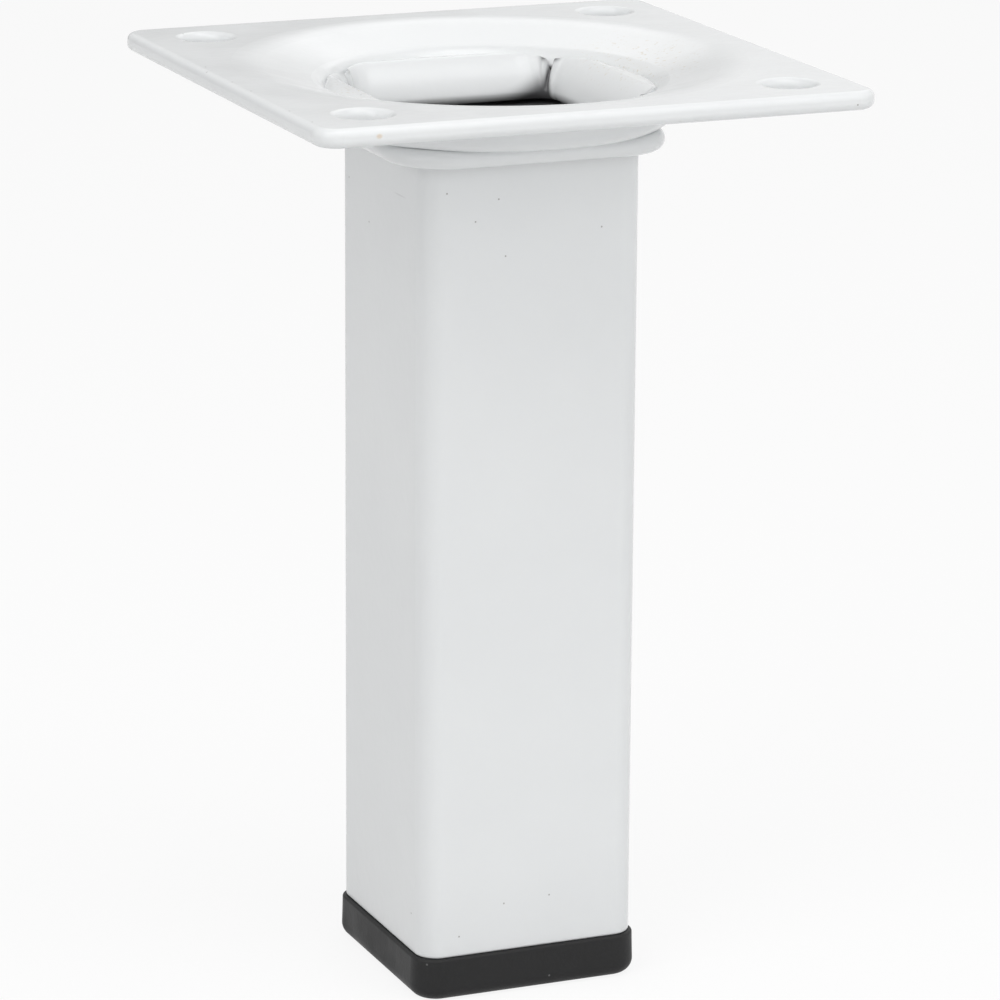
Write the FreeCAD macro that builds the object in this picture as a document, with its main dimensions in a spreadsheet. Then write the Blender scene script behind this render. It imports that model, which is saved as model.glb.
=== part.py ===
import FreeCAD, Part
import math
import operator
import os

import Sketcher

# A square steel table leg: a pressed mounting plate with a round dish in its middle, a square tube
# whose top is folded into a bead under the dish and bent over inside it, and a moulded foot cap.
# Frame: millimetres, +Z up, origin on the floor under the middle of the foot, sides along X and Y.

# Driving sizes, in millimetres
DRIVING_SIZES = {
    "leg_height": 100.0,        # floor to the top face of the mounting plate
    "tube_side": 25.0,          # outside width of the square tube
    "tube_wall": 0.8,           # sheet of the tube, the bead and the lips
    "tube_corner": 2.5,         # outside corner radius of the tube
    "plate_sheet": 2.0,         # sheet of the mounting plate
    "plate_border": 3.39,       # flat border between the dish and the plate's edge
    "plate_corner": 2.5,        # corner radius of the plate
    "plate_edge_round": 0.8,    # rounding of the plate's outer edges
    "plate_clearance": 0.15,    # play between the tube and the plate's square hole
    "screw_inset": 7.25,        # plate edge to the middle of a screw hole
    "screw_hole": 5.2,          # diameter of the screw holes
    "screw_rim_round": 0.8,     # rounding of a screw hole's top rim
    "dish_depth": 4.3,          # plate top to dish floor
    "dish_ledge": 4.55,         # flat dish floor around the tube
    "dish_rim_bend": 12.0,      # radius of the soft bend from the border into the dish
    "bowl_run": 5.35,           # width of the dish's sloping wall, seen from above
    "bowl_drop": 1.4,           # how far that sloping wall falls
    "cup_shoulder": 2.3,        # radius from the slope into the cup around the lips
    "cup_floor_bend": 0.2,      # radius from the cup's upright wall to the dish floor
    "cup_outer_bend": 1.0,      # radius of the cup's lower edge, seen from below
    "bead_gap": 0.45,           # gap between the two folded walls of the bead
    "bead_limb": 1.72,          # straight part of each folded wall
    "bead_root": 0.4,           # hollow radius between the tube's side and the bead
    "bead_corner_ease": 1.2,    # how much rounder the bead's corners are than the tube's
    "lip_rise": 2.0,            # dish floor to the top of the lips
    "lip_bend": 1.15,           # inside radius where the tube's wall bends into a lip
    "lip_gap": 0.2,             # how far a lip ends before the tube's corner
    "foot_height": 4.8,         # visible height of the foot cap
    "foot_overhang": 0.4,       # how far the cap's top stands out past the tube
    "foot_flare": 0.12,         # how much further its bottom stands out
    "foot_top_round": 0.3,      # rounding of the cap's upper edge
    "foot_bottom_round": 1.5,   # rounding of the cap's lower edge
    "foot_floor": 2.0,          # thickness of the cap's floor
    "plug_length": 14.0,        # how far the plug reaches into the tube
    "plug_clearance": 0.1,      # play between the plug's fins and the tube
    "plug_corner": 1.0,         # corner radius of the plug's core
    "plug_wall": 1.6,           # wall of the plug's core
    "plug_rib": 1.4,            # cross rib inside the plug
    "fin_reach": 1.0,           # how far the gripping fins stand out from the core
    "fin_thickness": 0.9,       # thickness of a fin
    "fin_pitch": 4.2,           # step from one fin to the next
}
FIN_COUNT = 3
SIDES = 4
FULL_TURN = 360.0
SMALL = 1e-4

OPERATIONS = {"+": operator.add, "-": operator.sub, "*": operator.mul, "/": operator.truediv}


class Size:
    """A length, together with the spreadsheet formula that gives it."""

    def __init__(self, value, formula):
        self.value = value
        self.formula = formula

    def combined(self, sign, other):
        """This size and another one, or a plain number, put together by one operation."""
        if not isinstance(other, Size):
            other = Size(other, str(other))
        value = OPERATIONS[sign](self.value, other.value)
        return Size(value, f"({self.formula} {sign} {other.formula})")

    def __add__(self, other):
        return self.combined("+", other)

    def __sub__(self, other):
        return self.combined("-", other)

    def __mul__(self, other):
        return self.combined("*", other)

    def __truediv__(self, other):
        return self.combined("/", other)

    def __neg__(self):
        return Size(-self.value, f"(0 - {self.formula})")


def square_root(size):
    """The square root of a size."""
    return Size(math.sqrt(size.value), f"sqrt({size.formula})")


def fill_sheet(document):
    """Write the driving sizes into the sheet, one aliased cell each, and hand them out as sizes."""
    sheet = document.addObject("Spreadsheet::Sheet", "Sizes")
    sizes = {}
    for row, (name, value) in enumerate(DRIVING_SIZES.items(), start=1):
        sheet.set(f"A{row}", name)
        sheet.set(f"B{row}", str(value))
        sheet.setAlias(f"B{row}", name)
        sizes[name] = Size(value, f"Sizes.{name}")
    document.recompute()
    return sizes


# Sketches and features

def origin_item(body, role):
    """One of the body's own origin planes or axes."""
    return next(item for item in body.Origin.OriginFeatures if item.Role == role)


def sketch_on(body, name, role, height=None):
    """A sketch on one of the body's origin planes, raised along that plane's normal."""
    sketch = body.newObject("Sketcher::SketchObject", name)
    sketch.AttachmentSupport = (origin_item(body, role), [""])
    sketch.MapMode = "FlatFace"
    if height is not None:
        sketch.setExpression("AttachmentOffset.Base.z", height.formula)
    return sketch


def fix_point(sketch, geometry, position, x, y):
    """Tie one point of a sketch to its two coordinates, each measured from the sketch's origin."""
    for kind, axis, size in (("DistanceX", -2, x), ("DistanceY", -1, y)):
        if abs(size.value) < SMALL:
            sketch.addConstraint(Sketcher.Constraint("PointOnObject", geometry, position, axis))
            continue
        ends = [-1, 1, geometry, position]
        if size.value < 0:
            ends = [geometry, position, -1, 1]
            size = -size
        index = sketch.addConstraint(Sketcher.Constraint(kind, *ends, size.value))
        sketch.setExpression(f"Constraints[{index}]", size.formula)


def arc_between(start, end, centre, turns_left):
    """The arc about a centre from start to end, as a sketch draws it: always anticlockwise."""
    first, last = (start, end) if turns_left else (end, start)
    middle = FreeCAD.Vector(centre[0].value, centre[1].value, 0)
    angles = [math.atan2(y.value - middle.y, x.value - middle.x) for x, y in (first, last)]
    radius = math.hypot(first[0].value - middle.x, first[1].value - middle.y)
    circle = Part.Circle(middle, FreeCAD.Vector(0, 0, 1), radius)
    return Part.ArcOfCircle(circle, angles[0], angles[1])


def outline(sketch, points, arcs):
    """A closed outline through the points in their order.

    arcs gives, for a point's number, the centre of the arc from it to the next point and whether
    that arc turns left. The other stretches are straight. Each point is tied to its coordinates,
    and each arc's centre to the coordinate that the two ends leave open.
    """
    count = len(points)
    ends = []
    for number, start in enumerate(points):
        end = points[(number + 1) % count]
        if number in arcs:
            centre, turns_left = arcs[number]
            index = sketch.addGeometry(arc_between(start, end, centre, turns_left))
            ends.append((index, 1, 2) if turns_left else (index, 2, 1))
        else:
            corners = [FreeCAD.Vector(x.value, y.value, 0) for x, y in (start, end)]
            index = sketch.addGeometry(Part.LineSegment(*corners))
            ends.append((index, 1, 2))
    for number, (index, first, last) in enumerate(ends):
        following = ends[(number + 1) % count]
        sketch.addConstraint(Sketcher.Constraint("Coincident", index, last, following[0], following[1]))
        fix_point(sketch, index, first, *points[number])
    for number, (centre, turns_left) in arcs.items():
        fix_centre(sketch, ends[number][0], centre, points[number], points[(number + 1) % count])


def fix_centre(sketch, arc, centre, start, end):
    """Tie an arc's centre across its chord: by X where the chord stands up, by Y where it lies."""
    stands_up = abs(end[1].value - start[1].value) > abs(end[0].value - start[0].value)
    kind = "DistanceX" if stands_up else "DistanceY"
    size = centre[0] if stands_up else centre[1]
    ends = [-1, 1, arc, 3]
    if size.value < 0:
        ends = [arc, 3, -1, 1]
        size = -size
    index = sketch.addConstraint(Sketcher.Constraint(kind, *ends, size.value))
    sketch.setExpression(f"Constraints[{index}]", size.formula)


def rounded_square(sketch, half, corner):
    """A square about the origin, half as wide as half says to each side, with rounded corners."""
    flat = half - corner
    points = [(half, -flat), (half, flat), (flat, half), (-flat, half),
              (-half, flat), (-half, -flat), (-flat, -half), (flat, -half)]
    arcs = {1: ((flat, flat), True), 3: ((-flat, flat), True),
            5: ((-flat, -flat), True), 7: ((flat, -flat), True)}
    outline(sketch, points, arcs)


def round_hole(sketch, x, y, radius):
    """A circle with its middle at x, y."""
    middle = FreeCAD.Vector(x.value, y.value, 0)
    index = sketch.addGeometry(Part.Circle(middle, FreeCAD.Vector(0, 0, 1), radius.value))
    fix_point(sketch, index, 3, x, y)
    tie = sketch.addConstraint(Sketcher.Constraint("Radius", index, radius.value))
    sketch.setExpression(f"Constraints[{tie}]", radius.formula)


def feature_of(body, kind, name, sketch, **settings):
    """A feature made from a sketch. A setting that is a size becomes a bound property."""
    feature = body.newObject(f"PartDesign::{kind}", name)
    feature.Profile = sketch
    for key, setting in settings.items():
        if isinstance(setting, Size):
            feature.setExpression(key, setting.formula)
        else:
            setattr(feature, key, setting)
    return feature


def around_axis(body, name, feature):
    """The feature repeated once for each side of the square."""
    pattern = body.newObject("PartDesign::PolarPattern", name)
    pattern.Originals = [feature]
    pattern.Axis = (origin_item(body, "Z_Axis"), [""])
    pattern.Angle = FULL_TURN
    pattern.Occurrences = SIDES
    body.Tip = pattern
    return pattern


def rounded_edges(body, name, base, radius, wanted):
    """A fillet on those edges of the base for which wanted is true."""
    body.Document.recompute()
    numbered = enumerate(base.Shape.Edges, start=1)
    names = [f"Edge{number}" for number, edge in numbered if wanted(edge)]
    fillet = body.newObject("PartDesign::Fillet", name)
    fillet.Base = (base, names)
    fillet.setExpression("Radius", radius.formula)
    return fillet


def lies_at(edge, height):
    """Whether an edge lies flat at this height."""
    box = edge.BoundBox
    return abs(box.ZMin - height.value) < SMALL and abs(box.ZMax - height.value) < SMALL


def new_body(document, label):
    body = document.addObject("PartDesign::Body", label)
    body.Label = label
    return body


# The mounting plate

def mounting_plate(document, size):
    """A pressed plate: a flat border, a dish of even sheet, a square hole and four screw holes."""
    body = new_body(document, "mounting_plate")
    top = size["leg_height"]
    sheet = size["plate_sheet"]
    rim = size["dish_rim_radius"]
    half = size["plate_half"]

    border_sketch = sketch_on(body, "border_outline", "XY_Plane", top - sheet)
    rounded_square(border_sketch, half, size["plate_corner"])
    zero = top - top
    round_hole(border_sketch, zero, zero, rim)
    border = feature_of(body, "Pad", "border", border_sketch, Length=sheet)
    rounded_edges(body, "border_edges", border, size["plate_edge_round"],
                  lambda edge: is_plate_rim(edge, size))

    dish_sketch = sketch_on(body, "dish_section", "XZ_Plane")
    dish_section(dish_sketch, size)
    feature_of(body, "Revolution", "dish", dish_sketch,
               ReferenceAxis=(dish_sketch, ["V_Axis"]), Angle=FULL_TURN)

    hole_sketch = sketch_on(body, "tube_hole_outline", "XY_Plane", top)
    rounded_square(hole_sketch, size["tube_half"] + size["plate_clearance"],
                   size["tube_corner"] + size["plate_clearance"])
    feature_of(body, "Pocket", "tube_hole", hole_sketch, Type="ThroughAll")

    screw_sketch = sketch_on(body, "screw_hole_outlines", "XY_Plane", top)
    screw = half - size["screw_inset"]
    for x, y in ((screw, screw), (-screw, screw), (-screw, -screw), (screw, -screw)):
        round_hole(screw_sketch, x, y, size["screw_hole"] / 2)
    holes = feature_of(body, "Pocket", "screw_holes", screw_sketch, Type="ThroughAll")
    rounded_edges(body, "screw_hole_rims", holes, size["screw_rim_round"],
                  lambda edge: is_screw_rim(edge, size))
    return body


def is_plate_rim(edge, size):
    """Whether an edge runs along the plate's outside, at its top or bottom face."""
    level = lies_at(edge, size["leg_height"]) or lies_at(edge, size["leg_height"] - size["plate_sheet"])
    middle = edge.valueAt((edge.FirstParameter + edge.LastParameter) / 2)
    return level and math.hypot(middle.x, middle.y) > size["dish_rim_radius"].value + SMALL


def is_screw_rim(edge, size):
    """Whether an edge is the upper rim of a screw hole."""
    is_circle = isinstance(edge.Curve, Part.Circle)
    if not is_circle or not lies_at(edge, size["leg_height"]):
        return False
    return abs(edge.Curve.Radius - size["screw_hole"].value / 2) < SMALL


def dish_section(sketch, size):
    """Half the dish's section: a bowl that falls from the rim and ends in a cup around the lips.

    The bowl is a bend at the rim and a straight slope, and a shoulder leads from it into the cup's
    upright wall. The underside follows one sheet away, with its own bend at the cup's lower edge.
    """
    top = size["leg_height"]
    sheet = size["plate_sheet"]
    rim_bend = size["dish_rim_bend"]
    shoulder_bend = size["cup_shoulder"]
    floor_bend = size["cup_floor_bend"]
    outer_bend = size["cup_outer_bend"]
    rim = size["dish_rim_radius"]
    cup = size["cup_radius"]
    wall_top = size["cup_wall_top"]
    floor = size["dish_floor_radius"]
    floor_top = size["dish_floor_top"]
    under = floor_top - sheet
    rim_centre = (rim, top - rim_bend)
    shoulder_centre = (cup + shoulder_bend, wall_top)

    def on_slope(centre, radius):
        return (centre[0] - radius * size["slope_sine"], centre[1] + radius * size["slope_cosine"])

    inner = size["tube_half"] / 2
    outer = cup + sheet
    points = [(inner, floor_top), (inner, under), (outer - outer_bend, under), (outer, under + outer_bend),
              (outer, wall_top), on_slope(shoulder_centre, shoulder_bend - sheet),
              on_slope(rim_centre, rim_bend - sheet), (rim, top - sheet), (rim, top),
              on_slope(rim_centre, rim_bend), on_slope(shoulder_centre, shoulder_bend),
              (cup, wall_top), (cup, floor_top + floor_bend), (floor, floor_top)]
    arcs = {2: ((outer - outer_bend, under + outer_bend), True),
            4: (shoulder_centre, False), 6: (rim_centre, False),
            8: (rim_centre, True), 10: (shoulder_centre, True),
            12: ((floor, floor_top + floor_bend), False)}
    outline(sketch, points, arcs)


# The tube

def leg_tube(document, size):
    """A square tube, folded out into a hollow bead and bent over into four split lips."""
    body = new_body(document, "leg_tube")
    half = size["tube_half"]
    wall = size["tube_wall"]
    corner = size["tube_corner"]
    floor_top = size["dish_floor_top"]

    tube_sketch = sketch_on(body, "tube_outline", "XY_Plane", size["foot_height"])
    rounded_square(tube_sketch, half, corner)
    rounded_square(tube_sketch, half - wall, corner - wall)
    feature_of(body, "Pad", "tube", tube_sketch, Length=floor_top - size["foot_height"])

    path_sketch = sketch_on(body, "bead_path", "XY_Plane", size["bead_middle"])
    bead_path(path_sketch, size)
    bead_sketch = sketch_on(body, "bead_section", "XZ_Plane")
    bead_section(bead_sketch, size)
    feature_of(body, "AdditivePipe", "bead", bead_sketch, Spine=(path_sketch, [""]))
    groove_sketch = sketch_on(body, "bead_groove_section", "XZ_Plane")
    bead_groove_section(groove_sketch, size)
    feature_of(body, "SubtractivePipe", "bead_groove", groove_sketch, Spine=(path_sketch, [""]))

    lip_sketch = sketch_on(body, "lip_section", "XZ_Plane")
    lip_section(lip_sketch, size)
    lip = feature_of(body, "Pad", "lip", lip_sketch, Midplane=True,
                     Length=(half - wall - size["lip_gap"]) * 2)
    around_axis(body, "lips", lip)

    trim_sketch = sketch_on(body, "lip_trim_outline", "XY_Plane", floor_top)
    zero = half - half
    round_hole(trim_sketch, zero, zero, size["cup_radius"])
    round_hole(trim_sketch, zero, zero, size["dish_rim_radius"])
    body.Tip = feature_of(body, "Pocket", "lip_trim", trim_sketch, Type="ThroughAll", Reversed=True)
    return body


def bead_path(sketch, size):
    """The line that the middle of the bead's nose follows, a rounded square split at +X."""
    half = size["bead_nose_offset"]
    corner = size["bead_corner"] - size["bead_nose"]
    flat = half - corner
    zero = half - half
    points = [(half, zero), (half, flat), (flat, half), (-flat, half), (-half, flat),
              (-half, -flat), (-flat, -half), (flat, -half), (half, -flat)]
    arcs = {1: ((flat, flat), True), 3: ((-flat, flat), True),
            5: ((-flat, -flat), True), 7: ((flat, -flat), True)}
    outline(sketch, points, arcs)


def bead_section(sketch, size):
    """The outside of the bead: a hollow root under it, a round nose and a flat top."""
    outside = size["tube_half"]
    inside = outside - size["tube_wall"] / 4
    root = size["bead_root"]
    nose_at = size["bead_nose_offset"]
    middle = size["bead_middle"]
    low = middle - size["bead_nose"]
    high = middle + size["bead_nose"]
    points = [(inside, low - root), (outside, low - root), (outside + root, low),
              (nose_at, low), (nose_at, high), (inside, high)]
    arcs = {1: ((outside + root, low - root), False), 3: ((nose_at, middle), True)}
    outline(sketch, points, arcs)


def bead_groove_section(sketch, size):
    """The fold's inside, one wall away from its outside, with a rounded mouth towards the bore."""
    outside = size["tube_half"]
    wall = size["tube_wall"]
    inside = outside - wall
    root = size["bead_root"]
    nose_at = size["bead_nose_offset"]
    middle = size["bead_middle"]
    low = middle - size["bead_nose"]
    high = middle + size["bead_nose"]
    in_bore = inside - wall
    points = [(in_bore, low - root), (inside, low - root), (outside + root, low + wall),
              (nose_at, low + wall), (nose_at, high - wall), (outside, high - wall),
              (inside, high), (in_bore, high)]
    arcs = {1: ((outside + root, low - root), False), 3: ((nose_at, middle), True),
            5: ((outside, high), False)}
    outline(sketch, points, arcs)


def lip_section(sketch, size):
    """A lip: the wall bent outwards by a quarter turn into a flange that ends at the cup's shoulder."""
    floor_top = size["dish_floor_top"]
    outside = size["tube_half"]
    inside = outside - size["tube_wall"]
    under = size["lip_under"]
    over = under + size["tube_wall"]
    bend_out = outside + size["lip_bend"]
    bend_up = under - size["lip_bend"]
    far = size["cup_radius"] + size["cup_shoulder"]
    points = [(inside, floor_top), (outside, floor_top), (outside, bend_up), (bend_out, under),
              (far, under), (far, over), (bend_out, over), (inside, bend_up)]
    arcs = {2: ((bend_out, bend_up), False), 6: ((bend_out, bend_up), True)}
    outline(sketch, points, arcs)


# The foot cap

def foot_cap(document, size):
    """A moulded cap: a flared flange on the floor and a ribbed plug with fins inside the tube."""
    body = new_body(document, "foot_cap")
    flange_top = size["foot_height"]
    plug_top = flange_top + size["plug_length"]
    low_half = size["foot_half"] + size["foot_flare"]

    flange_sketch = sketch_on(body, "flange_outline", "XY_Plane")
    rounded_square(flange_sketch, low_half, size["foot_corner"] + size["foot_flare"])
    narrowing = -size["foot_flare"] / flange_top
    slope = Size(math.degrees(math.atan(narrowing.value)), f"atan({narrowing.formula})")
    flange = feature_of(body, "Pad", "flange", flange_sketch, Length=flange_top, TaperAngle=slope)
    zero = flange_top - flange_top
    lower = rounded_edges(body, "flange_lower_edge", flange, size["foot_bottom_round"],
                          lambda edge: lies_at(edge, zero))
    rounded_edges(body, "flange_upper_edge", lower, size["foot_top_round"],
                  lambda edge: lies_at(edge, flange_top))

    fin_half = size["tube_half"] - size["tube_wall"] - size["plug_clearance"]
    core_half = fin_half - size["fin_reach"]
    core_sketch = sketch_on(body, "plug_outline", "XY_Plane", flange_top)
    rounded_square(core_sketch, core_half, size["plug_corner"])
    feature_of(body, "Pad", "plug", core_sketch, Length=size["plug_length"])

    fin_span = size["fin_pitch"] * (FIN_COUNT - 1)
    first_fin = plug_top - size["fin_pitch"] / 2 - fin_span
    fin_sketch = sketch_on(body, "fin_outline", "XY_Plane", first_fin)
    fin_corner = size["tube_corner"] - size["tube_wall"] - size["plug_clearance"]
    rounded_square(fin_sketch, fin_half, fin_corner)
    fin = feature_of(body, "Pad", "fin", fin_sketch, Length=size["fin_thickness"])
    fins = body.newObject("PartDesign::LinearPattern", "fins")
    fins.Originals = [fin]
    fins.Direction = (origin_item(body, "Z_Axis"), [""])
    fins.setExpression("Length", fin_span.formula)
    fins.Occurrences = FIN_COUNT
    body.Tip = fins

    cell_sketch = sketch_on(body, "cell_outline", "XY_Plane", plug_top)
    near = size["plug_rib"] / 2
    far = core_half - size["plug_wall"]
    outline(cell_sketch, [(near, near), (far, near), (far, far), (near, far)], {})
    cell = feature_of(body, "Pocket", "cell", cell_sketch, Length=plug_top - size["foot_floor"])
    around_axis(body, "cells", cell)
    return body


# The whole leg

def add_fitted_sizes(size):
    """Sizes that follow from the driving ones, so that the three pieces keep fitting each other."""
    size["tube_half"] = size["tube_side"] / 2
    size["dish_floor_radius"] = size["tube_half"] + size["dish_ledge"]
    size["dish_floor_top"] = size["leg_height"] - size["dish_depth"]
    size["cup_radius"] = size["dish_floor_radius"] + size["cup_floor_bend"]
    run = size["bowl_run"]
    drop = size["bowl_drop"]
    slope = square_root(run * run + drop * drop)
    size["slope_sine"] = drop / slope
    size["slope_cosine"] = run / slope
    bends = size["dish_rim_bend"] - size["cup_shoulder"]
    size["dish_rim_radius"] = size["cup_radius"] + size["cup_shoulder"] + run + bends * size["slope_sine"]
    size["cup_wall_top"] = size["leg_height"] - size["dish_rim_bend"] - drop + bends * size["slope_cosine"]
    size["plate_half"] = size["dish_rim_radius"] + size["plate_border"]
    size["lip_under"] = size["dish_floor_top"] + size["lip_rise"] - size["tube_wall"]
    size["bead_nose"] = size["tube_wall"] + size["bead_gap"] / 2
    size["bead_nose_offset"] = size["tube_half"] + size["bead_root"] + size["bead_limb"]
    bead_reach = size["bead_root"] + size["bead_limb"] + size["bead_nose"]
    size["bead_corner"] = size["tube_corner"] + bead_reach + size["bead_corner_ease"]
    size["bead_middle"] = size["dish_floor_top"] - size["plate_sheet"] - size["bead_nose"]
    size["foot_half"] = size["tube_half"] + size["foot_overhang"]
    size["foot_corner"] = size["tube_corner"] + size["foot_overhang"]


def check_document(document):
    """Stop at any object that failed, and at any cut that took nothing away."""
    for item in document.Objects:
        if "Invalid" in item.State or "Error" in item.State:
            raise RuntimeError(f"{item.Label} failed: {item.State}")
        cuts = item.TypeId in ("PartDesign::Pocket", "PartDesign::SubtractivePipe")
        if cuts and item.Shape.Volume > item.BaseFeature.Shape.Volume - SMALL:
            raise RuntimeError(f"{item.Label} cuts nothing")


def main():
    document = FreeCAD.newDocument("square_table_leg")
    size = fill_sheet(document)
    add_fitted_sizes(size)
    bodies = [make(document, size) for make in (mounting_plate, leg_tube, foot_cap)]
    document.recompute()
    check_document(document)
    os.makedirs("parts", exist_ok=True)
    for body in bodies:
        if body.Shape.isNull() or not body.Shape.isValid() or len(body.Shape.Solids) != 1:
            raise RuntimeError(f"{body.Label} is not one sound solid")
        body.Shape.exportStep(f"parts/{body.Label}.step")
        print(f"{body.Label}: {body.Shape.Volume:.1f} mm3, {body.Shape.BoundBox}")


main()
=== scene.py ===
# %% [markdown]
# # A square steel table leg
# The leg is a white powder-coated tube with a pressed plate on top and a black plastic cap below.
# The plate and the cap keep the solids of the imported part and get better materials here.
# The tube is built again as one fine surface, because its top is bent over into soft, split lips.

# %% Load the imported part
import math

import bpy
import numpy as np
from mathutils import Matrix, Vector


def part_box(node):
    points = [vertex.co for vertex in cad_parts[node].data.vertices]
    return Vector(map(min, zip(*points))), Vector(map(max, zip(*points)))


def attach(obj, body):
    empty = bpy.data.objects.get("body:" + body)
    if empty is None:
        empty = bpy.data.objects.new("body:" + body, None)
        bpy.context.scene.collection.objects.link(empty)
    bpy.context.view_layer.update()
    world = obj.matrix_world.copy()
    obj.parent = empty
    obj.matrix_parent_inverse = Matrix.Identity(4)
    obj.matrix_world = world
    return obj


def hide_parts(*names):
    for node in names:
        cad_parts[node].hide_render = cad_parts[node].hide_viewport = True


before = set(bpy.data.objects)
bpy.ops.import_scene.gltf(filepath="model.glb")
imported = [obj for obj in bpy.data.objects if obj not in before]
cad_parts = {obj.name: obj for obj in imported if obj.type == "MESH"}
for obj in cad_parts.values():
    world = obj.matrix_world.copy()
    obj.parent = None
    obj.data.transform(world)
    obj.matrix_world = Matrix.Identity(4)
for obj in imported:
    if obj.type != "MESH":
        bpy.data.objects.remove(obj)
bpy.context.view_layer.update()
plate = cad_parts["mounting_plate"]
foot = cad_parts["foot_cap"]
print("loaded", sorted(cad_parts))

# %% [markdown]
# ## One trip around a square tube
# Every level of the tube is a square with rounded corners, so one walk around it serves them all.
# The walk stores where the corner's middle lies and which way the surface faces at each step.
# A level's own width and corner radius then turn the walk into points, all of them at once.
# A box with bevelled edges would be square too, but its levels wouldn't share the same steps.
# Lengths are written in millimetres, and MM turns them into Blender's metres.

# %% Walk around the tube
MM = 0.001
TUBE_HALF = 12.5
TUBE_CORNER = 2.5
STEPS_ALONG_SIDE = 45
STEPS_IN_CORNER = 49


def walk_around():
    """Steps around a rounded square: corner middle in a unit square, facing angle, way past a corner.

    A straight side moves the corner's middle from one end to the other while the angle stays.
    A corner keeps the middle and turns the angle by a quarter. The steps crowd towards the corners.
    The way past the nearest corner is the stretch of side plus the stretch of the corner's arc that
    lie between, and it is negative for steps before that corner.
    """
    side_place = np.sin(np.linspace(-1, 1, STEPS_ALONG_SIDE) * math.pi / 2)
    corner_turn = np.linspace(0, math.pi / 2, STEPS_IN_CORNER + 2)[1:-1]
    place = np.concatenate([side_place, np.ones(STEPS_IN_CORNER)])
    turn = np.concatenate([np.zeros(STEPS_ALONG_SIDE), corner_turn])
    quarter = np.arange(4)[:, None] * math.pi / 2
    middle_x = np.cos(quarter) - place * np.sin(quarter)
    middle_y = np.sin(quarter) + place * np.cos(quarter)
    side_between = (1 - np.abs(place)) * (TUBE_HALF - TUBE_CORNER)
    arc_between = np.abs(turn - math.pi / 4) * TUBE_CORNER
    is_past = (place < 0) | (turn > math.pi / 4)
    past_corner = (side_between + arc_between) * np.where(is_past, 1, -1)
    return middle_x.ravel(), middle_y.ravel(), (quarter + turn).ravel(), np.tile(past_corner, 4)


middle_x, middle_y, facing, past_corner = walk_around()
to_corner = np.abs(past_corner)
print("steps around the tube:", facing.size)

# %% [markdown]
# ## The tube's section
# A press folds the tube's end outwards into a bead, and the plate is slipped over and rests on it.
# The end is then bent over into lips that clamp the plate. A line along the wall shows all of this.
# The line is drawn once as distances from the tube's outside and heights above the floor.
# A curve could be swept around instead, but the lips need their own section at every step.

# %% Pieces of the section line
TUBE_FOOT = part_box("leg_tube")[0].z / MM
WALL = 0.8
DISH_FLOOR = 95.7
PLATE_SHEET = 2.0
BEAD_TOP = DISH_FLOOR - PLATE_SHEET
BEAD_NOSE = 1.025
BEAD_ROOT = 0.2
BEAD_LIMB = 1.92
FOLD_GAP = 0.225
END_ROUND = 0.3
NECK_ROUND = 0.1
BEND_FOOT = BEAD_TOP + NECK_ROUND
CLOSE_ROWS = 3.0


def arc(out, up, radius, start, end, count):
    """Points on an arc of the section, angles in degrees, as rows of distance and height."""
    angle = np.radians(np.linspace(start, end, count))
    return np.stack([out + radius * np.cos(angle), up + radius * np.sin(angle)], axis=1)


def straight(start, end, count):
    """Points on a straight stretch of the section, without its two ends."""
    share = np.linspace(0, 1, count + 2)[1:-1, None]
    return np.asarray(start) * (1 - share) + np.asarray(end) * share


bead_middle = BEAD_TOP - BEAD_NOSE
bead_low = BEAD_TOP - 2 * BEAD_NOSE
nose_out = BEAD_ROOT + BEAD_LIMB
root_up = bead_low - BEAD_ROOT
close_up = root_up - CLOSE_ROWS
end_up = TUBE_FOOT + END_ROUND

outside_line = np.concatenate([
    arc(-END_ROUND, end_up, END_ROUND, -90, 0, 6),
    straight((0, end_up), (0, close_up), 8),
    straight((0, close_up), (0, root_up), 6),
    arc(BEAD_ROOT, root_up, BEAD_ROOT, 180, 90, 10),
    arc(nose_out, bead_middle, BEAD_NOSE, -90, 90, 19),
    arc(NECK_ROUND, BEND_FOOT, NECK_ROUND, -90, -165, 5),
])
inside_line = np.concatenate([
    arc(0, BEAD_TOP, WALL, 180, 270, 8),
    arc(nose_out, bead_middle, FOLD_GAP, 90, -90, 5),
    arc(BEAD_ROOT, root_up, BEAD_ROOT + WALL, 90, 180, 10),
    straight((-WALL, root_up), (-WALL, end_up), 10),
    arc(END_ROUND - WALL, end_up, END_ROUND, 180, 270, 6),
])
print("points on the section:", len(outside_line), "outside,", len(inside_line), "inside")

# %% [markdown]
# ## How high and how wide the lips are
# The press bends the wall outwards until the lip lies in the plate's round cup, flush with the bowl.
# Towards a corner the sheet is short of width, so the lips sink there and end in a pinched crease.
# Two small gaps beside each crease stay open, because the split sheet can't fill the cup's corner.
# Sculpting could shape this by hand. Bell curves around each corner need only a few plain numbers.

# %% Height and edge of the lips along the walk
LIP_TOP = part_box("leg_tube")[1].z / MM
CROWN_FALL = 0.6
END_DROP = 0.35
END_WIDTH = 1.6
CREASE_DROP = 1.4
CREASE_WIDTH = 0.28
TOOTH_PLACE = 0.7
TOOTH_WIDTH = 0.3
TOOTH_DEPTH = 0.6
CUP_RADIUS = 17.25
CUP_SHOULDER = 2.3
CUP_WALL_TOP = 95.98


def bell(distance, width):
    """A bell curve: one at no distance, and about a third one width away."""
    return np.exp(-(distance / width) ** 2)


def lip_heights():
    """Height of the lips' tops: level, less a wide and a narrow bell curve at each corner."""
    return LIP_TOP - END_DROP * bell(to_corner, END_WIDTH) - CREASE_DROP * bell(to_corner, CREASE_WIDTH)


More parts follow.
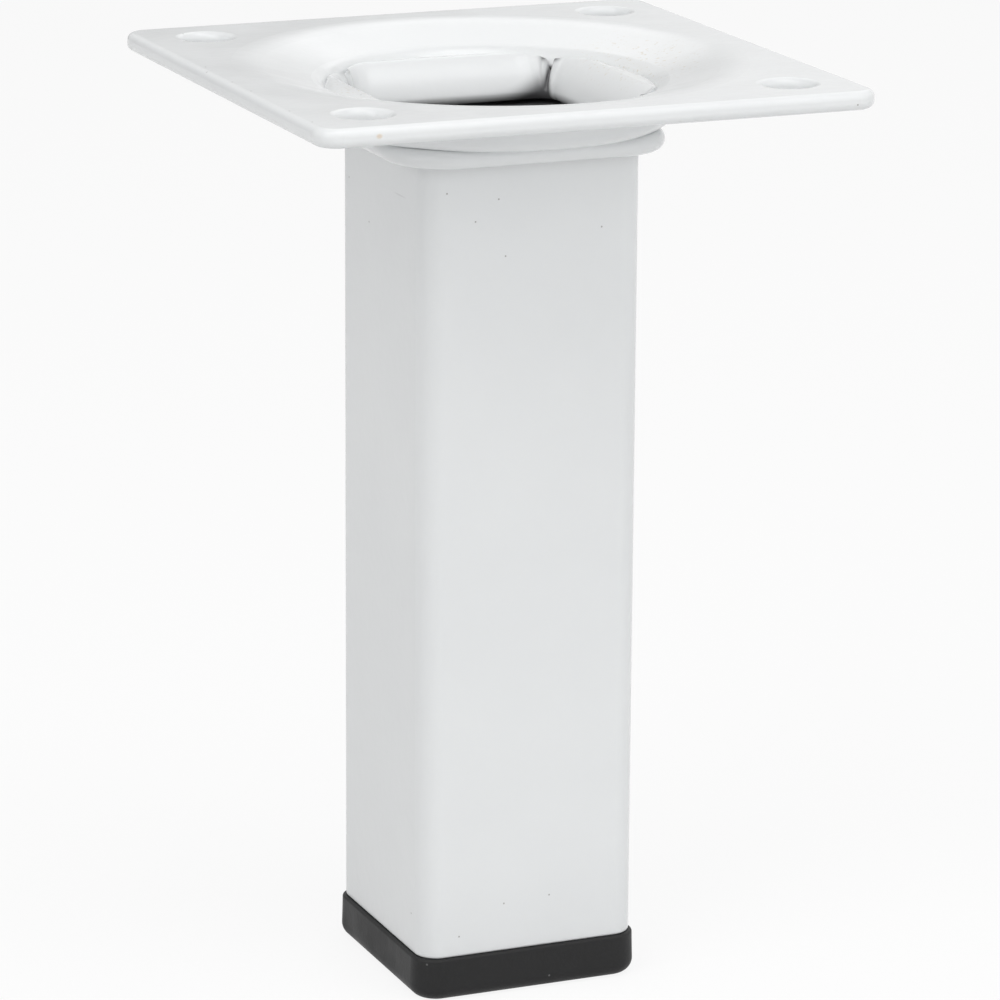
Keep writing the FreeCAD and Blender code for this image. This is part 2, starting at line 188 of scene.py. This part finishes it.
def lip_edges(top):
    """Distance from the tube's side to the edge of the lip, which lies on the cup's round shoulder.

    The shoulder's radius at the edge's height gives a circle, and the way from the tube's side out
    to that circle is a root, as for any straight line that meets a circle. A bell curve on either
    side of a corner takes a small gap out of the edge.
    """
    above_wall = np.clip(top - CROWN_FALL - CUP_WALL_TOP, 0, CUP_SHOULDER)
    circle = CUP_RADIUS + CUP_SHOULDER - np.sqrt(CUP_SHOULDER ** 2 - above_wall ** 2)
    flat = TUBE_HALF - TUBE_CORNER
    along = flat * (middle_x * np.cos(facing) + middle_y * np.sin(facing))
    square = flat ** 2 * (middle_x ** 2 + middle_y ** 2)
    room = np.sqrt(along ** 2 - square + circle ** 2) - along - TUBE_CORNER
    return room - TOOTH_DEPTH * bell(to_corner - TOOTH_PLACE, TOOTH_WIDTH)


lip_top = lip_heights()
lip_edge = lip_edges(lip_top)
print("lip height from %.2f to %.2f mm" % (lip_top.min(), lip_top.max()))
print("lip reach from %.2f to %.2f mm" % (lip_edge.min(), lip_edge.max()))

# %% [markdown]
# ## The lips' two faces
# Seen in section, a lip rises from the bore to its crest as a quarter of an ellipse.
# From there it falls to its edge as a parabola, and its lower face runs about one wall below.
# A Solidify modifier could add the lower face, but it would push the lip's edge through the cup.
# Both faces are therefore worked out as grids, with one row for each step of the walk.

# %% Upper and lower face of the lips
BEND_REACH = 3.3
FLARE_POWER = 1.45
BEND_STEPS = 25
CROWN_STEPS = 15
CREST_SETBACK = 0.1
LEAST_BEND = 0.05
LEAST_RISE = 0.1
BESIDE_EDGE = 0.985
UNDER_SHARE = 0.9
UNDER_START, UNDER_END = 85, 20


def quarter_ellipse(centre_out, foot_up, reach, rise, start, end, count, power=1.0):
    """A quarter ellipse for each step: its centre, plus reach times the cosine and rise times the
    sine of an angle that runs from start to end, in degrees. Both are raised to a power first, and
    a power above 1 makes the curve straighter between its ends."""
    angle = np.radians(np.linspace(start, end, count))
    across = np.sign(np.cos(angle)) * np.abs(np.cos(angle)) ** power
    out = centre_out[:, None] + reach[:, None] * across
    up = foot_up[:, None] + rise[:, None] * np.sin(angle).clip(0) ** power
    return out, up


def crown(crest_out, crest_up):
    """The upper face from the edge to the crest, a parabola: it falls with the square of the way out.

    The first two rows lie close together, which keeps the edge crisp under smooth shading.
    """
    share = np.concatenate([[1.0], np.linspace(BESIDE_EDGE, 0, CROWN_STEPS - 1, endpoint=False)])
    out = crest_out[:, None] + (lip_edge - crest_out)[:, None] * share
    return out, crest_up[:, None] - CROWN_FALL * share ** 2


def side_by_side(*pieces):
    """Several stretches of section, each a pair of distances and heights, joined into one."""
    return tuple(np.concatenate(part, axis=1) for part in zip(*pieces))


def lip_faces():
    """The upper face from the edge over the crest to the bore, and the lower face the other way."""
    reach = np.clip(lip_edge + WALL - CREST_SETBACK, WALL + LEAST_BEND, BEND_REACH)
    rise = np.maximum(lip_top - BEND_FOOT, WALL + LEAST_RISE)
    foot_up = np.full(facing.size, BEND_FOOT)
    crest_out = reach - WALL
    crest_up = foot_up + rise
    upper = side_by_side(
        crown(crest_out, crest_up),
        quarter_ellipse(crest_out, foot_up, reach, rise, 90, 180, BEND_STEPS, FLARE_POWER))
    edge_up = crest_up - CROWN_FALL
    under_reach = (lip_edge - crest_out) * UNDER_SHARE
    under_rise = np.full(facing.size, CROWN_FALL - WALL)
    lower = side_by_side(
        quarter_ellipse(crest_out, foot_up, crest_out, rise - WALL, 180, 90, BEND_STEPS),
        quarter_ellipse(crest_out, edge_up, under_reach, under_rise, UNDER_START, UNDER_END, CROWN_STEPS))
    return upper, lower


upper_face, lower_face = lip_faces()
print("points on a lip:", upper_face[0].shape[1], "above,", lower_face[0].shape[1], "below")

# %% [markdown]
# ## The whole tube as one grid
# The outside line, the lip and the inside line are joined into one closed section for each step.
# Carried around the walk, the sections become a grid that closes on itself both ways, like a ring.
# The bead has rounder corners than the tube, as a fold in sheet metal can't go round a tight corner.
# Wall, bead and lips could be three meshes, but their joints would show. One grid has no joints.

# %% Points of the tube
BEAD_CORNER_EASE = 0.38
EASE_BELOW_FLOOR = 0.5


def for_each_step(line):
    """The same stretch of section for every step of the walk."""
    return tuple(np.tile(line[:, axis], (facing.size, 1)) for axis in range(2))


def around_the_walk(out, up):
    """Points of the tube: x = corner middle * (half width - corner radius) + corner radius * cosine
    of the facing angle, y in the same way with the sine. The radius grows with the distance out,
    and on the bead it grows faster."""
    on_bead = up < DISH_FLOOR - EASE_BELOW_FLOOR
    corner = TUBE_CORNER + out + BEAD_CORNER_EASE * np.maximum(out, 0) * on_bead
    flat = TUBE_HALF + out - corner
    x = middle_x[:, None] * flat + corner * np.cos(facing)[:, None]
    y = middle_y[:, None] * flat + corner * np.sin(facing)[:, None]
    return np.stack([x, y, up], axis=2) * MM


section_out, section_up = side_by_side(for_each_step(outside_line), lower_face, upper_face,
                                       for_each_step(inside_line))
grid = around_the_walk(section_out, section_up)
print("grid of the tube: %d steps of %d points" % grid.shape[:2])

# %% [markdown]
# ## From the grid to a mesh
# Blender takes a list of points and, for each face, the numbers of the points at its corners. Every
# cell of the grid becomes a face with four corners, counted so that it looks outwards. The cells
# could be made one by one. Arrays count the corners of all of them in one go.

# %% Build the tube


def closed_grid_faces(rows, columns):
    """Four corners for each cell of a grid that closes on itself both ways."""
    row = np.arange(rows)[:, None]
    column = np.arange(columns)[None, :]
    next_row = (row + 1) % rows
    next_column = (column + 1) % columns
    corners = [row * columns + column, next_row * columns + column,
               next_row * columns + next_column, row * columns + next_column]
    return np.stack(np.broadcast_arrays(*corners), axis=2).reshape(-1, 4)


def smooth_piece(name, points, faces):
    """A smoothly shaded mesh object from arrays of points and faces, left at the origin."""
    mesh = bpy.data.meshes.new(name)
    mesh.from_pydata(points.reshape(-1, 3), [], faces)
    mesh.shade_smooth()
    piece = bpy.data.objects.new(name, mesh)
    bpy.context.scene.collection.objects.link(piece)
    return piece


tube = smooth_piece("tube_with_lips", grid, closed_grid_faces(*grid.shape[:2]))
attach(tube, "root")
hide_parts("leg_tube")
print("tube faces:", len(tube.data.polygons))

# %% [markdown]
# ## Where the coat ends
# Powder is sprayed from outside, so it reaches the mouth of the tube and fades out further down.
# The lips' split ends get painted shade for the gaps beside them, and the crease between two lips is partly
# bare steel and partly painted shade, mostly at one corner.
# The tube just below the bead's root gets a faint painted shade. Each point of the tube gets a value for
# all that, from 0 on the coat to 1 on the bare dark steel, which the painted shade uses too.
# A painted image could hold it. It is stored in the mesh, because it follows the surface's own rows.

# %% Bare steel and painted shade of the tube
COAT_END = 94.2
COAT_FADE = 2.4
CORNER_LIFT = 2.2
LIFT_WIDTH_PAST = 3.8
LIFT_WIDTH_BEFORE = 0.8
CREASE_LIFT = 1.6
OPEN_CORNER = math.pi / 4
OPEN_LEAST = 0.3
OPEN_POWER = 4
TOOTH_HEIGHT = 0.35
ROOT_SHADE = 0.15
ROOT_HEIGHT = 0.9
ROOT_DEPTH = 0.3

section_rows = np.arange(section_up.shape[1])
inside_from = section_rows.size - len(inside_line) - BEND_STEPS
is_inside = section_rows >= inside_from
is_upper = section_rows >= inside_from - CROWN_STEPS


def split_opening():
    """How open the split is: 1 at the open corner, and less with the cosine of the turn away from it,
    raised to a power, down to a least share on the far side."""
    towards = 0.5 + 0.5 * np.cos(facing - OPEN_CORNER)
    return OPEN_LEAST + (1 - OPEN_LEAST) * towards ** OPEN_POWER


def bare_bore_and_crease_shade(opening):
    """A smooth step that grows below the coat's end. That end lies higher in the corners, and highest in
    the crease between two lips, where the raise is partly bare steel and partly painted shade of the split."""
    width = np.where(past_corner > 0, LIFT_WIDTH_PAST, LIFT_WIDTH_BEFORE)
    # partly painted shade: the raise in the crease darkens the split between two lips as shade would
    crease = CREASE_LIFT * opening * bell(past_corner, CREASE_WIDTH)
    end = COAT_END + CORNER_LIFT * bell(past_corner, width) + crease
    depth = np.clip((end[:, None] - section_up) / COAT_FADE, 0, 1)
    return depth ** 2 * (3 - 2 * depth) * is_inside


# painted shade: darkens the lips' split ends where the gaps beside each crease fall into shade
def painted_tooth_gap_shade(opening):
    """Painted shade for the two gaps beside a crease: bell curves around them, times a bell curve around
    the lip's height.
    """
    tooth = bell(past_corner - TOOTH_PLACE, TOOTH_WIDTH) + bell(past_corner + TOOTH_PLACE, TOOTH_WIDTH)
    return (tooth * opening)[:, None] * bell(lip_top[:, None] - section_up, TOOTH_HEIGHT) * is_upper


# painted shade: a faint dark band on the tube where the bead above shades it
def painted_root_shade():
    """Painted shade: a faint bell curve around the bead's root, on the outside only, where the bead shades
    the tube.
    """
    return ROOT_SHADE * bell(section_up - root_up, ROOT_HEIGHT) * bell(section_out, ROOT_DEPTH) * ~is_inside


opening = split_opening()
bareness_and_shade = np.maximum(bare_bore_and_crease_shade(opening), np.maximum(painted_root_shade(), painted_tooth_gap_shade(opening)))
# bare steel and painted shade share this one value and one dark colour
bare = tube.data.attributes.new("bare_steel_and_shade", "FLOAT", "POINT")
bare.data.foreach_set("value", bareness_and_shade.ravel().astype(np.float32))
print("points on bare steel:", int((bareness_and_shade > 0.5).sum()))

# %% [markdown]
# ## Helpers for materials
# A material is a small network of nodes. These helpers add one node each and link or set its inputs.
# The nodes could be placed by hand in the shader editor. As code, the coats of two pieces share them.

# %% Node helpers


def new_material(name):
    """A material with its node tree and its shader."""
    material = bpy.data.materials.new(name)
    material.use_nodes = True
    tree = material.node_tree
    return material, tree, tree.nodes["Principled BSDF"]


def set_input(tree, socket, value):
    """Link a socket to another one, or give it a plain value."""
    if isinstance(value, bpy.types.NodeSocket):
        tree.links.new(value, socket)
    else:
        socket.default_value = value


def add_node(tree, kind, **inputs):
    """A shader node whose named inputs are set or linked."""
    node = tree.nodes.new(kind)
    for key, value in inputs.items():
        set_input(tree, node.inputs[key.replace("_", " ")], value)
    return node


def combine(tree, operation, first, second):
    """Two values put together by one operation."""
    node = tree.nodes.new("ShaderNodeMath")
    node.operation = operation
    set_input(tree, node.inputs[0], first)
    set_input(tree, node.inputs[1], second)
    return node.outputs[0]


def fade(tree, value, start, end, low=0.0, high=1.0):
    """The value's way from start to end, turned smoothly into low to high."""
    node = add_node(tree, "ShaderNodeMapRange", Value=value, From_Min=start, From_Max=end,
                    To_Min=low, To_Max=high)
    node.interpolation_type = "SMOOTHSTEP"
    return node.outputs["Result"]


def mix_colour(tree, share, first, second):
    """A blend of two colours."""
    node = tree.nodes.new("ShaderNodeMix")
    node.data_type = "RGBA"
    set_input(tree, node.inputs[0], share)
    set_input(tree, node.inputs[6], first)
    set_input(tree, node.inputs[7], second)
    return node.outputs[2]


print("materials before the new ones:", len(bpy.data.materials))

# %% [markdown]
# ## Helpers for spots
# Dust, stains and specks lie at certain places of the surface, so each is a small ellipsoid in space.
# The place is moved and stretched so that the spot's border has length 1, and a fade does the rest.
# An image would need a UV map on every piece, and a spot needs only the object's own coordinates.

# %% Spot helpers
SPECK_CORE = 0.4


def soft_spot(tree, place, middle, half_sizes, core):
    """A spot around a point in millimetres: 1 within the core share of its half sizes, 0 outside."""
    moved = tree.nodes.new("ShaderNodeMapping")
    moved.vector_type = "TEXTURE"
    tree.links.new(place, moved.inputs["Vector"])
    moved.inputs["Location"].default_value = Vector(middle) * MM
    moved.inputs["Scale"].default_value = Vector(half_sizes) * MM
    length = tree.nodes.new("ShaderNodeVectorMath")
    length.operation = "LENGTH"
    tree.links.new(moved.outputs["Vector"], length.inputs[0])
    return fade(tree, length.outputs["Value"], 1.0, core)


def spots(tree, place, middles, size):
    """Several round specks of one size, as one value."""
    half_sizes = (size, size, size)
    total = soft_spot(tree, place, middles[0], half_sizes, SPECK_CORE)
    for middle in middles[1:]:
        total = combine(tree, "MAXIMUM", total, soft_spot(tree, place, middle, half_sizes, SPECK_CORE))
    return total


print("a speck is solid within %d%% of its size" % round(100 * SPECK_CORE))

# %% [markdown]
# ## The white coat
# Powder coat is sprayed on dry and melted in an oven, so it is smooth with a slight orange peel.
# Fine noise tilts the surface for that, and wide noise makes its tone and gloss a little uneven.
# This leg has been stored: beige dust lies in the dish, and small dark specks stick to the coat.
# Noise is used instead of an image, because it has no seams and stays sharp from close by.

# %% White powder coat
COAT_WHITE = (0.84, 0.855, 0.86, 1)
COAT_SHADE = (0.82, 0.835, 0.842, 1)
COAT_ROUGHNESS = (0.17, 0.25)
DUST_BEIGE = (0.72, 0.67, 0.57, 1)
DISH_DUST = (18.0, 2.0, 98.5)
DISH_DUST_SIZE = (10.0, 15.0, 4.0)
LIP_DUST = (-15.2, -1.0, 97.7)
LIP_DUST_SIZE = (3.0, 8.0, 2.0)
FILM_SPAN = (0.35, 0.7)
FILM_MOST = 0.1
GRAIN_BROWN = (0.64, 0.56, 0.43, 1)
GRAIN_SPAN = (0.60, 0.70)
GRAIN_MOST = 0.6
SPECK_DARK = (0.42, 0.41, 0.40, 1)
STAIN_CORE = 0.3
NOISE_SPAN = (0.3, 0.7)


def coat_colour(tree, place):
    """White with a slightly uneven tone, beige where dust has settled, and brown grains in the dust."""
    wide = add_node(tree, "ShaderNodeTexNoise", Vector=place, Scale=45.0, Detail=3.0)
    tone = mix_colour(tree, fade(tree, wide.outputs["Fac"], *NOISE_SPAN), COAT_WHITE, COAT_SHADE)
    dusty = combine(tree, "MAXIMUM", soft_spot(tree, place, DISH_DUST, DISH_DUST_SIZE, 0.1),
                    soft_spot(tree, place, LIP_DUST, LIP_DUST_SIZE, 0.2))
    clouds = add_node(tree, "ShaderNodeTexNoise", Vector=place, Scale=420.0, Detail=4.0)
    film = combine(tree, "MULTIPLY", dusty, fade(tree, clouds.outputs["Fac"], *FILM_SPAN, 0.0, FILM_MOST))
    grains = add_node(tree, "ShaderNodeTexNoise", Vector=place, Scale=2000.0, Detail=2.0)
    sparse = fade(tree, grains.outputs["Fac"], *GRAIN_SPAN)
    grain_share = combine(tree, "MULTIPLY", dusty, combine(tree, "MULTIPLY", sparse, GRAIN_MOST))
    return mix_colour(tree, grain_share, mix_colour(tree, film, tone, DUST_BEIGE), GRAIN_BROWN)


def white_coat(name, specks, speck_size, stain):
    """Powder coat with orange peel, uneven gloss, dust, a stain, and dark specks at the given points."""
    material, tree, shader = new_material(name)
    place = add_node(tree, "ShaderNodeTexCoord").outputs["Object"]
    colour = coat_colour(tree, place)
    middle, half_sizes, stain_colour = stain
    colour = mix_colour(tree, soft_spot(tree, place, middle, half_sizes, STAIN_CORE), colour, stain_colour)
    colour = mix_colour(tree, spots(tree, place, specks, speck_size), colour, SPECK_DARK)
    peel = add_node(tree, "ShaderNodeTexNoise", Vector=place, Scale=900.0, Detail=2.0)
    bump = add_node(tree, "ShaderNodeBump", Height=peel.outputs["Fac"], Strength=0.05, Distance=0.0003)
    gloss = add_node(tree, "ShaderNodeTexNoise", Vector=place, Scale=120.0, Detail=2.0)
    roughness = fade(tree, gloss.outputs["Fac"], *NOISE_SPAN, *COAT_ROUGHNESS)
    tree.links.new(roughness, shader.inputs["Roughness"])
    tree.links.new(bump.outputs["Normal"], shader.inputs["Normal"])
    return material, tree, shader, colour


print("the coat's white: %.3f, %.3f, %.3f" % COAT_WHITE[:3])

# %% [markdown]
# ## The plate's coat
# Specks lie along the plate's left border and at its right front corner, and its front edge has a stain.
# Beside the lips' split ends one looks into the corners of the cup, where hardly any light comes in.
# Deeper gaps in the mesh would give that shade too. Here a dark spot of painted shade on the plate lies in
# each corner, because the gaps in the mesh are too narrow to look dark by themselves.

# %% Coat of the plate
PLATE_SPECKS = [(-29.9, -2.7, 100.0), (-29.6, 6.4, 100.0), (-30.3, 4.0, 99.9), (-29.8, -8.1, 100.0),
                (-29.8, -25.8, 100.0), (-29.9, -19.6, 100.0), (-25.2, 26.2, 100.0), (-23.8, -9.8, 99.9),
                (27.9, -30.7, 98.7), (29.4, -30.1, 98.2)]
PLATE_SPECK_SIZE = 0.14
EDGE_STAIN = ((-24.6, -30.7, 99.1), (0.45, 0.4, 0.35), (0.75, 0.67, 0.57, 1))
GAP_OUT, GAP_UP = 12.1, 95.9
GAP_SIZE = 0.9
PAINTED_GAP_SHADE = (0.03, 0.03, 0.03, 1)
CUP_CORNERS = [(GAP_OUT * x, GAP_OUT * y, GAP_UP) for x, y in ((1, 1), (-1, 1), (-1, -1), (1, -1))]

plate_coat, plate_tree, plate_shader, plate_colour = white_coat(
    "plate_powder_coat", PLATE_SPECKS, PLATE_SPECK_SIZE, EDGE_STAIN)
plate_place = add_node(plate_tree, "ShaderNodeTexCoord").outputs["Object"]
# painted shade: a dark spot in each cup corner stands for the shade in the gaps beside the split lips
painted_gap_shade_mask = spots(plate_tree, plate_place, CUP_CORNERS, GAP_SIZE)
plate_tree.links.new(mix_colour(plate_tree, painted_gap_shade_mask, plate_colour, PAINTED_GAP_SHADE),
                     plate_shader.inputs["Base Color"])
plate.data.materials[0] = plate_coat
print("nodes in the plate's coat:", len(plate_tree.nodes))

# %% [markdown]
# ## The tube's coat
# The tube has the same coat with its own specks, and it turns into dark bare steel inside the bore.
# Two materials would meet in a hard line there. One material lets the coat fade out softly instead.
# The value stored in the mesh says how far the steel shows through, and how dark the painted shade is at
# the split ends, in the crease and under the bead.

# %% Coat, bare steel and painted shade of the tube
TUBE_SPECKS = [(-12.5, 9.2, 86.5), (-10.0, -12.5, 88.7), (-6.8, -12.5, 85.5), (-4.2, -12.5, 87.7),
               (7.5, -12.5, 83.9), (-3.4, -12.5, 81.6), (-12.5, 3.3, 82.8), (-3.1, -12.5, 10.2),
               (-12.5, -9.1, 9.2), (-8.3, -12.5, 7.1), (2.2, -12.5, 10.5), (-15.6, -2.4, 97.65)]
TUBE_SPECK_SIZE = 0.13
FACE_SCRATCH = ((-12.5, -5.6, 87.4), (0.5, 2.2, 0.14), (0.74, 0.75, 0.76, 1))
BARE_STEEL_AND_SHADE = (0.11, 0.11, 0.114, 1)

tube_coat, tube_tree, tube_shader, tube_colour = white_coat(
    "tube_powder_coat", TUBE_SPECKS, TUBE_SPECK_SIZE, FACE_SCRATCH)
bare_and_shade_share = add_node(tube_tree, "ShaderNodeAttribute")
bare_and_shade_share.attribute_name = "bare_steel_and_shade"
# the dark colour gives both the bare steel and the painted shade of split ends, crease and bead root
tube_tree.links.new(mix_colour(tube_tree, bare_and_shade_share.outputs["Fac"], tube_colour, BARE_STEEL_AND_SHADE),
                    tube_shader.inputs["Base Color"])
tube.data.materials.append(tube_coat)
print("nodes in the tube's coat:", len(tube_tree.nodes))

# %% [markdown]
# ## The plastic of the foot
# The cap is moulded in black plastic with a fine satin grain, a little duller in some places.
# A pale nick at its upper corner and a speck on its front are the only marks on it.
# The grain could be cut into the mesh, but it is far too fine for that, so a bump tilts the surface.

# %% Black plastic
PLASTIC_BLACK = (0.024, 0.024, 0.0245, 1)
PLASTIC_ROUGHNESS = (0.42, 0.55)
PLASTIC_SHINE = 0.17
PLASTIC_SCUFF = (0.12, 0.12, 0.12, 1)
FOOT_MARKS = [(-11.9, -12.2, 4.3), (2.1, -13.0, 1.4)]
FOOT_MARK_SIZE = 0.16


def black_plastic():
    """Near-black plastic with a grain bump and two pale marks."""
    material, tree, shader = new_material("black_foot_plastic")
    place = add_node(tree, "ShaderNodeTexCoord").outputs["Object"]
    grain = add_node(tree, "ShaderNodeTexNoise", Vector=place, Scale=2500.0, Detail=3.0)
    bump = add_node(tree, "ShaderNodeBump", Height=grain.outputs["Fac"], Strength=0.12, Distance=0.0002)
    cloud = add_node(tree, "ShaderNodeTexNoise", Vector=place, Scale=180.0, Detail=3.0)
    roughness = fade(tree, cloud.outputs["Fac"], *NOISE_SPAN, *PLASTIC_ROUGHNESS)
    tree.links.new(roughness, shader.inputs["Roughness"])
    shader.inputs["Specular IOR Level"].default_value = PLASTIC_SHINE
    colour = mix_colour(tree, spots(tree, place, FOOT_MARKS, FOOT_MARK_SIZE), PLASTIC_BLACK, PLASTIC_SCUFF)
    tree.links.new(colour, shader.inputs["Base Color"])
    tree.links.new(bump.outputs["Normal"], shader.inputs["Normal"])
    return material


foot.data.materials[0] = black_plastic()
print("foot material:", foot.data.materials[0].name)

# %% [markdown]
# ## Floor
# The photo is a product shot on pure white. What the camera and the gloss see is therefore white.
# A floor bright enough for that would light the leg from below and wash out its sides.
# So the floor is pale grey for the light that it sends back, and white only where it is seen.
# It still shows a part of its real light, so the shadow under the leg stays.

# %% Studio floor
FLOOR_HALF = 4.0
FLOOR_GREY = (0.75, 0.75, 0.75, 1)
FLOOR_SEEN = (0.95, 0.95, 0.95, 1)
SHADOW_SHARE = 0.12


def seen_directly(tree):
    """1 for a ray from the camera, from a gloss or through glass, 0 for a ray that only lights."""
    path = tree.nodes.new("ShaderNodeLightPath")
    seen = combine(tree, "MAXIMUM", path.outputs["Is Camera Ray"], path.outputs["Is Glossy Ray"])
    return combine(tree, "MAXIMUM", seen, path.outputs["Is Transmission Ray"])


def studio_floor():
    """A wide level floor: grey for the light that it sends back, nearly white where it is seen."""
    corners = np.array([[-1, -1, 0], [1, -1, 0], [1, 1, 0], [-1, 1, 0]]) * FLOOR_HALF
    floor = smooth_piece("floor", corners, [(0, 1, 2, 3)])
    material, tree, shader = new_material("pale_floor")
    shader.inputs["Base Color"].default_value = FLOOR_GREY
    shader.inputs["Roughness"].default_value = 0.9
    shader.inputs["Specular IOR Level"].default_value = 0.0
    pale = add_node(tree, "ShaderNodeBsdfDiffuse", Color=FLOOR_SEEN)
    white = add_node(tree, "ShaderNodeEmission", Color=(1, 1, 1, 1), Strength=1.0)
    shown = add_node(tree, "ShaderNodeMixShader", Fac=1 - SHADOW_SHARE)
    tree.links.new(pale.outputs[0], shown.inputs[1])
    tree.links.new(white.outputs[0], shown.inputs[2])
    either = add_node(tree, "ShaderNodeMixShader", Fac=seen_directly(tree))
    tree.links.new(shader.outputs[0], either.inputs[1])
    tree.links.new(shown.outputs[0], either.inputs[2])
    tree.links.new(either.outputs[0], tree.nodes["Material Output"].inputs["Surface"])
    floor.data.materials.append(material)
    return floor


print("floor width: %.1f m" % studio_floor().dimensions.x)

# %% [markdown]
# ## Surround
# Around the floor the studio is white as well, and a world without objects is enough for that.
# It could be as bright as it looks, but then light from all sides would leave the leg flat.
# It is white where it is seen and much dimmer for the light that it gives.

# %% White surround
SURROUND_LIGHT = 0.26


def white_surround():
    """A world that is white where it is seen and dimmer for the light that it gives."""
    world = bpy.data.worlds.new("white_surround")
    world.use_nodes = True
    bpy.context.scene.world = world
    tree = world.node_tree
    background = tree.nodes["Background"]
    background.inputs["Color"].default_value = (1, 1, 1, 1)
    strength = add_node(tree, "ShaderNodeMapRange", Value=seen_directly(tree),
                        To_Min=SURROUND_LIGHT, To_Max=1.0)
    tree.links.new(strength.outputs["Result"], background.inputs["Strength"])


white_surround()
print("surround light:", SURROUND_LIGHT)

# %% [markdown]
# ## A grey board to mirror
# A glossy plate seen at a low angle mirrors what stands behind it, and pure white there hides its form.
# Photographers put a grey board behind it. Here only the gloss can see the board, so it takes no light.
# A darker world would do this too, but it would turn the white background grey.
# The board gets paler towards its right end, as the plate does in the photo.

# %% Grey board
BOARD_LEFT, BOARD_RIGHT = -0.9, 0.5
BOARD_BEHIND = 0.9
BOARD_TOP = 0.38
BOARD_GREY = 0.55
BOARD_FADE = 0.24


def grey_board():
    """An upright board behind the leg, grey on the left and fading to white at its right end."""
    corners = np.array([[BOARD_LEFT, BOARD_BEHIND, 0], [BOARD_RIGHT, BOARD_BEHIND, 0],
                        [BOARD_RIGHT, BOARD_BEHIND, BOARD_TOP], [BOARD_LEFT, BOARD_BEHIND, BOARD_TOP]])
    board = smooth_piece("grey_board", corners, [(0, 1, 2, 3)])
    material, tree, _ = new_material("grey_board")
    place = add_node(tree, "ShaderNodeTexCoord").outputs["Object"]
    across = add_node(tree, "ShaderNodeSeparateXYZ", Vector=place).outputs["X"]
    strength = fade(tree, across, BOARD_RIGHT - BOARD_FADE, BOARD_RIGHT, BOARD_GREY, 1.0)
    shine = add_node(tree, "ShaderNodeEmission", Color=(1, 1, 1, 1), Strength=strength)
    tree.links.new(shine.outputs[0], tree.nodes["Material Output"].inputs["Surface"])
    board.data.materials.append(material)
    board.visible_camera = False
    board.visible_diffuse = False
    board.visible_shadow = False


grey_board()
print("board grey:", BOARD_GREY)

# %% [markdown]
# ## Softboxes
# A large softbox stands low in front to the right and lights the tube's front from there.
# Two weaker ones on the left keep that side from going dull, and two hang above the plate.
# The last one stands behind and shines into the dish. All are large, so no shadow has a hard edge.
# The low one isn't mirrored, because seen from behind it would turn the plate's top pure white.
# A picture of a studio could light the leg too, but lamps can be moved and dimmed one by one.

# %% Six softboxes
LIGHT_AIM = Vector((0, 0, 60)) * MM


def softbox(name, place, size, watts, mirrored=True):
    """A flat area light at a place in metres, turned towards the leg, which the gloss may mirror."""
    light = bpy.data.lights.new(name, "AREA")
    light.shape = "RECTANGLE"
    light.size, light.size_y = size
    light.energy = watts
    lamp = bpy.data.objects.new(name, light)
    lamp.rotation_mode = "QUATERNION"
    lamp.rotation_quaternion = (Vector(place) - LIGHT_AIM).to_track_quat("Z", "Y")
    lamp.location = place
    lamp.visible_glossy = mirrored
    bpy.context.scene.collection.objects.link(lamp)


softbox("front_softbox", (0.55, -0.60, 0.25), (0.7, 0.7), 2.9, mirrored=False)
softbox("left_softbox", (-0.64, -0.36, 0.30), (0.6, 0.6), 1.6)
softbox("high_left_softbox", (-0.45, -0.25, 0.75), (0.5, 0.5), 1.65)
softbox("high_front_softbox", (0.15, -0.65, 0.75), (0.6, 0.6), 0.5)
softbox("top_softbox", (0.10, -0.25, 1.00), (0.6, 0.6), 2.4)
softbox("back_softbox", (0.40, 0.65, 0.72), (0.5, 0.6), 0.75)
print("softboxes:", len(bpy.data.lights))

# %% [markdown]
# ## Camera
# The camera stands where the photo was taken from: to the left of the front, a little above the plate.
# Its lens is long, so the leg's upright edges stay almost parallel.
# It could be turned by hand until the view fits. Three angles say the same and can be written down.

# %% Camera at the photo's viewing angle
IMAGE_SIZE = 1000
SENSOR_WIDTH = 36.0
CAMERA_PLACE = (-202.10, -485.59, 195.01)
CAMERA_YAW, CAMERA_PITCH, CAMERA_ROLL = -0.39682, 0.26583, 0.00639
FOCAL_PIXELS = 5044.52
NEAREST_SEEN = 0.01


def photo_camera():
    """A camera turned by roll, then tilted down by its pitch, then turned by its yaw."""
    data = bpy.data.cameras.new("photo_view")
    data.sensor_width = SENSOR_WIDTH
    data.lens = FOCAL_PIXELS * data.sensor_width / IMAGE_SIZE
    data.clip_start = NEAREST_SEEN
    camera = bpy.data.objects.new("photo_view", data)
    turn = (Matrix.Rotation(CAMERA_YAW, 4, "Z") @ Matrix.Rotation(math.pi / 2 - CAMERA_PITCH, 4, "X")
            @ Matrix.Rotation(CAMERA_ROLL, 4, "Z"))
    camera.matrix_world = Matrix.Translation(Vector(CAMERA_PLACE) * MM) @ turn
    bpy.context.scene.collection.objects.link(camera)
    bpy.context.scene.camera = camera
    return data


print("lens: %.1f mm" % photo_camera().lens)
bpy.context.scene.view_settings.view_transform = "Standard"
